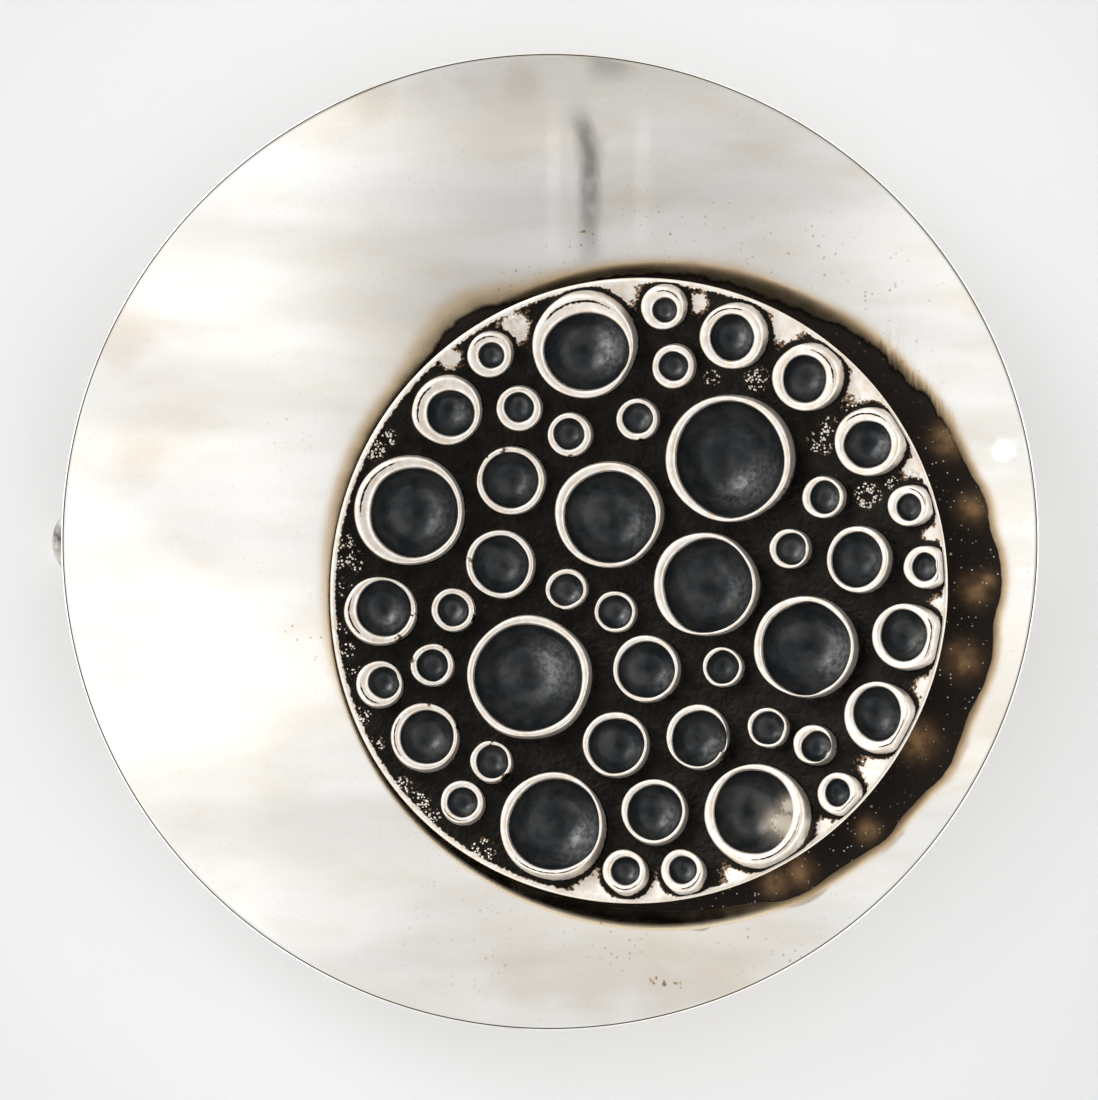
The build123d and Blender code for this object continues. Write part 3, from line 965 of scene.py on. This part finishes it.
def material(name):
    """A new material with its tree and its Principled shader."""
    made = bpy.data.materials.new(name)
    made.use_nodes = True
    return made, made.node_tree, made.node_tree.nodes["Principled BSDF"]


def strays(tree, size, *noise):
    """Grain about zero, times a size."""
    return times(tree, minus(tree, grain(tree, *noise), 0.5), size)


def dots(tree, per_mm, size, share):
    """Small round dots with a number of cells per millimetre, in a share of the cells."""
    place = node(tree, "TexCoord").outputs["Object"]
    cells = node(tree, "TexVoronoi", {"Vector": place, "Scale": per_mm / MM})
    chosen = node(tree, "SeparateColor", {0: cells.outputs["Color"]}).outputs[0]
    near = steps(tree, cells.outputs["Distance"], size, size * 0.6)
    return times(tree, near, maths(tree, "LESS_THAN", chosen, share))


def polished_silver():
    """The dish's silver, with its clouds, its black and brown about the disc, partly tarnish and partly
    painted shade and reflection, specks and dust.
    """
    made, tree, shader = material("polished_silver")
    warm = painted(tree, "warm")
    clouds = steps(tree, grain(tree, 0.16, 4.0, (0.45, 1, 1)), 0.42, 0.62)
    wiped = steps(tree, grain(tree, 0.7, 3.0, (0.3, 1, 1)), 0.45, 0.7)
    stain = plus(tree, times(tree, clouds, 0.6), times(tree, wiped, 0.35))
    stain = times(tree, stain, steps(tree, warm, 0.0, 0.7, 0.4, 1.0))
    colour = mixed(tree, stain, (0.95, 0.937, 0.9, 1), (0.87, 0.80, 0.69, 1))
    torn = strays(tree, 3.0, 0.3, 4.0, (0.6, 1, 1))
    stain_and_shade = steps(tree, plus(tree, painted(tree, "stain_and_shade"), torn), 0.2, 1.4, 0.0, 0.6)
    colour = mixed(tree, stain_and_shade, colour, (0.80, 0.70, 0.59, 1))
    brushes = strays(tree, steps(tree, painted(tree, "brushed"), 0.1, 0.8, 0.0, 3.0), 2.0, 2.0, (1, 0.08, 1))
    uneven = plus(tree, strays(tree, 1.8, 0.9, 4.0), brushes)
    black = steps(tree, plus(tree, painted(tree, "black"), uneven), -1.0, 1.0)
    brown = times(tree, painted(tree, "brown"), steps(tree, uneven, -1.0, 1.0, 0.8, 1.1))
    smudge = plus(tree, painted(tree, "smudge"), strays(tree, 2.0, 3.5, 2.0))
    smudge = steps(tree, smudge, 0.6, 0.95, 0.0, 0.8)
    brown = maths(tree, "MAXIMUM", brown, smudge)
    colour = mixed(tree, steps(tree, brown, 0.0, 0.55), colour, (0.70, 0.55, 0.37, 1))
    colour = mixed(tree, steps(tree, brown, 0.45, 1.0), colour, (0.13, 0.095, 0.055, 1))
    # The black beside the disc: tarnish with painted shade, and brown lobes that are a painted reflection of
    # the cups' backs
    reflected_lobe = times(tree, painted(tree, "reflected_lobe"), steps(tree, grain(tree, 1.5, 3.0), 0.25, 0.7, 0.4, 1.0))
    tarnish_shade_and_reflection = mixed(tree, reflected_lobe, (0.017, 0.012, 0.009, 1), (0.36, 0.21, 0.1, 1))
    colour = mixed(tree, steps(tree, black, 0.0, 0.6), colour, tarnish_shade_and_reflection)
    specked = steps(tree, painted(tree, "specked"), 0.0, 1.0, 0.15, 1.0)
    specked = times(tree, specked, steps(tree, grain(tree, 0.35, 2.0), 0.4, 0.6, 0.2, 1.0))
    fine = times(tree, dots(tree, 3.0, 0.3, 0.3), specked)
    large = times(tree, dots(tree, 1.3, 0.14, 0.2), specked)
    colour = mixed(tree, times(tree, fine, 0.6), colour, (0.40, 0.30, 0.18, 1))
    colour = mixed(tree, times(tree, large, 0.7), colour, (0.28, 0.21, 0.13, 1))
    dust = maths(tree, "MAXIMUM", dots(tree, 5.0, 0.28, 0.16), dots(tree, 1.8, 0.16, 0.1))
    dust = times(tree, dust, times(tree, painted(tree, "dusty"), black))
    colour = mixed(tree, dust, colour, (0.8, 0.76, 0.68, 1))
    rough = steps(tree, grain(tree, 1.0, 1.0), 0.3, 0.8, 0.02, 0.07)
    rough = plus(tree, rough, times(tree, black, 0.3))
    rough = plus(tree, rough, times(tree, brown, 0.25))
    rough = plus(tree, rough, times(tree, painted(tree, "behind"), 0.16))
    brush = steps(tree, painted(tree, "brushed"), 0.0, 1.0, 0.05, 2.0)
    brushed = times(tree, grain(tree, 2.5, 2.0, (1, 0.06, 1)), brush)
    metallic = steps(tree, black, 0.5, 1.0, 1.0, 0.15)
    feed(tree, shader, {"Base Color": colour, "Metallic": metallic, "Roughness": rough})
    feed(tree, shader, {"Specular IOR Level": 0.2, "Normal": bump(tree, brushed, 0.3, 0.02)})
    return made


def oxidised_silver():
    """The disc's silver, black in its ground and bowls and worn bright on its brims, with painted light on
    one side of each bowl.
    """
    made, tree, shader = material("oxidised_silver")
    hammered = grain(tree, 3.2, 3.0)
    coarse = grain(tree, 1.0, 3.0)
    hollow = painted(tree, "hollow")
    worn = maths(tree, "MAXIMUM", painted(tree, "polish"), painted(tree, "bare"))
    worn = plus(tree, worn, strays(tree, 0.9, 5.0, 2.0))
    speckle = steps(tree, painted(tree, "speckle"), 0.15, 0.6)
    specks = times(tree, dots(tree, 6.5, 0.56, 0.85), speckle)
    specks = times(tree, specks, steps(tree, grain(tree, 2.2, 2.0), 0.4, 0.52))
    brown = maths(tree, "MAXIMUM", steps(tree, worn, 0.26, 0.42), steps(tree, specks, 0.05, 0.3))
    shine = maths(tree, "MAXIMUM", steps(tree, worn, 0.42, 0.56), steps(tree, specks, 0.3, 0.55))
    ground = mixed(tree, coarse, (0.003, 0.0027, 0.0023, 1), (0.026, 0.0235, 0.02, 1))
    cloudy = steps(tree, grain(tree, 0.9, 4.0), 0.35, 0.7)
    bowl = mixed(tree, cloudy, (0.021, 0.025, 0.029, 1), (0.056, 0.056, 0.054, 1))
    # Painted light in the bowls: where the hollow value passes one, the bowl turns pale grey
    painted_lit = minus(tree, hollow, 1.0)
    painted_lit = times(tree, painted_lit, steps(tree, hammered, 0.3, 0.7, 0.5, 1.1))
    bowl = mixed(tree, steps(tree, painted_lit, 0.0, 1.0), bowl, (0.34, 0.34, 0.33, 1))
    dark = mixed(tree, steps(tree, hollow, 0.0, 1.0), ground, bowl)
    warmer = steps(tree, grain(tree, 2.0, 2.0), 0.35, 0.7)
    metal = mixed(tree, warmer, (0.84, 0.80, 0.745, 1), (0.76, 0.66, 0.55, 1))
    colour = mixed(tree, shine, mixed(tree, brown, dark, (0.17, 0.105, 0.06, 1)), metal)
    # Tan: a painted sheen on the disc's side where the dish mirrors it, and a worn patch in one bowl
    tan = painted(tree, "tan")
    colour = mixed(tree, tan, colour, (0.88, 0.77, 0.61, 1))
    metallic = maths(tree, "MAXIMUM", steps(tree, hollow, 0.0, 1.0, 1.0, 0.45), shine)
    metallic = maths(tree, "MINIMUM", metallic, steps(tree, tan, 0.0, 1.0, 1.0, 0.2))
    metallic = maths(tree, "MINIMUM", metallic, steps(tree, shine, 0.0, 1.0, 1.0, 0.85))
    rough = mixed(tree, hollow, (0.4, 0.4, 0.4, 1), (0.27, 0.27, 0.27, 1))
    rough = mixed(tree, shine, rough, (0.4, 0.4, 0.4, 1))
    rough = node(tree, "SeparateColor", {0: rough}).outputs[0]
    flat = steps(tree, maths(tree, "MAXIMUM", shine, hollow), 0.0, 1.0, 1.0, 0.2)
    height = plus(tree, times(tree, hammered, flat), times(tree, specks, 0.4))
    feed(tree, shader, {"Base Color": colour, "Metallic": metallic, "Roughness": rough})
    feed(tree, shader, {"Specular IOR Level": 0.15, "Normal": bump(tree, height, 0.8, 0.12)})
    return made


def pin_steel():
    """The pin's drawn wire."""
    made, tree, shader = material("pin_wire")
    drawn = grain(tree, 3.0, 2.0, (0.05, 1, 1))
    colour = mixed(tree, drawn, (0.55, 0.55, 0.54, 1), (0.75, 0.75, 0.74, 1))
    rough = steps(tree, drawn, 0.3, 0.7, 0.22, 0.38)
    feed(tree, shader, {"Base Color": colour, "Metallic": 1.0, "Roughness": rough})
    return made


def floor_paper():
    """White paper, palest near the brooch, where a pool of light is painted into its colour."""
    made, tree, shader = material("floor_paper")
    fibres = mixed(tree, grain(tree, 0.02, 1.0), (0.68, 0.68, 0.682, 1), (0.71, 0.71, 0.71, 1))
    place = node(tree, "TexCoord").outputs["Object"]
    reach = node(tree, "VectorMath", {0: place}, operation="LENGTH").outputs["Value"]
    # Painted light: the paper is lightened round the brooch, where its shadow falls
    near = steps(tree, reach, 46 * MM, 26 * MM)
    colour = mixed(tree, near, fibres, (0.86, 0.86, 0.86, 1))
    feed(tree, shader, {"Base Color": colour, "Roughness": 0.9})
    return made


def dress(piece, paint):
    """Gives a piece its material."""
    piece.data.materials.clear()
    piece.data.materials.append(paint)
    return piece


def floor():
    skin = Skin()
    corners = np.array([[-1, -1, 0], [1, -1, 0], [1, 1, 0], [-1, 1, 0]])
    skin.faces.append(tuple(skin.add(corners * FLOOR_REACH)))
    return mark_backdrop(dress(skin.piece("floor"), floor_paper()))


def camera():
    """A camera straight above, framed as the photograph."""
    made = bpy.data.objects.new("camera", bpy.data.cameras.new("camera"))
    made.data.sensor_fit = "HORIZONTAL"
    made.data.sensor_width = SENSOR_WIDTH
    made.data.lens = SENSOR_WIDTH * CAMERA_DISTANCE / (PHOTO_WIDTH * pixel)
    made.data.clip_start = 0.01
    made.location = camera_spot * MM
    bpy.context.scene.collection.objects.link(made)
    bpy.context.scene.camera = made


def studio():
    """A pale light tent, dark where the camera looks in, and a small key light."""
    world = bpy.data.worlds.new("tent")
    bpy.context.scene.world = world
    world.use_nodes = True
    tree = world.node_tree
    towards = node(tree, "TexCoord").outputs["Generated"]
    x, y, z = node(tree, "SeparateXYZ", {0: towards}).outputs
    # Soft lights at both sides, over the tent's own light, which falls off towards the front
    level = plus(tree, steps(tree, x, 0.05, 0.36, 0.0, 0.43), steps(tree, x, -0.2, -0.5, 0.0, 0.4))
    level = times(tree, level, steps(tree, y, 0.12, 0.36, 1.0, 0.2))
    level = plus(tree, level, steps(tree, y, 0.0, 0.3, 0.62, 0.83))
    level = times(tree, level, steps(tree, y, 0.45, 0.58, 1.0, 0.88))
    level = plus(tree, level, steps(tree, y, -0.36, -0.46, 0.0, 0.08))
    # A brighter corner, the folds of the cloth, the paler table and the camera's opening
    corner = plus(tree, y, times(tree, x, 0.87))
    corner = times(tree, steps(tree, corner, 0.36, 0.4), steps(tree, x, 0.28, 0.36))
    level = plus(tree, level, times(tree, corner, 0.1))
    folds = node(tree, "Mapping", {"Vector": towards, "Scale": (2, 12, 4)}).outputs[0]
    folds = node(tree, "TexNoise", {"Vector": folds, "Scale": 1.0, "Detail": 2.0}).outputs["Fac"]
    level = times(tree, level, steps(tree, folds, 0.3, 0.7, 0.9, 1.08))
    level = times(tree, level, steps(tree, z, 0.8, 0.65, 1.0, 1.5))
    level = times(tree, level, steps(tree, z, 0.986, 0.970, 0.05, 1.0))
    # A dark gap between the tent's cloths, a pale hem at each side of it, and a notch above them
    bend = steps(tree, y, -0.43, -0.5, 0.045, 0.03)
    within = times(tree, steps(tree, y, -0.24, -0.43), steps(tree, y, -0.5, -0.45))
    gap = steps(tree, maths(tree, "ABSOLUTE", plus(tree, x, bend)), 0.018, 0.002, 0.0, 0.62)
    hem = maths(tree, "ABSOLUTE", plus(tree, x, 0.054))
    hem = maths(tree, "ABSOLUTE", minus(tree, hem, 0.05))
    gap = minus(tree, gap, steps(tree, hem, 0.011, 0.004, 0.0, 0.12))
    gap = times(tree, gap, within)
    level = times(tree, level, minus(tree, 1.0, gap))
    notch = steps(tree, maths(tree, "ABSOLUTE", plus(tree, x, 0.067)), 0.035, 0.01, 0.0, 0.3)
    notch = times(tree, notch, steps(tree, y, -0.505, -0.525))
    level = times(tree, level, minus(tree, 1.0, notch))
    lamp = node(tree, "VectorMath", {0: towards, 1: (-0.504, -0.099, 0.858)}, operation="DOT_PRODUCT")
    level = plus(tree, level, steps(tree, lamp.outputs["Value"], 0.99992, 0.99996, 0.0, 1.5))
    feed(tree, tree.nodes["Background"], {"Color": (1, 1, 1, 1), "Strength": level})
    key = bpy.data.objects.new("key_light", bpy.data.lights.new("key_light", "AREA"))
    key.data.size = 0.3
    key.data.energy = 0.65
    key.data.color = (0.94, 0.97, 1.0)
    spot = Vector((-0.33, 0.33, 0.36))
    key.location = spot
    key.rotation_euler = spot.to_track_quat("Z", "Y").to_euler()
    bpy.context.scene.collection.objects.link(key)


silver = polished_silver()
blackened = oxidised_silver()
wire = pin_steel()

for piece in (dish_bowl(), catch(), hinge()):
    dress(piece, silver)
    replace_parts(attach(piece, "root"), "dish")
for piece in (relief_disc(), disc_peg()):
    dress(piece, blackened)
    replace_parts(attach(piece, "root"), "cup_disc")
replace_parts(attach(dress(pin_wire(), wire), "root"), "brooch_pin")

floor()
camera()
studio()
bpy.context.scene.view_settings.view_transform = "Standard"
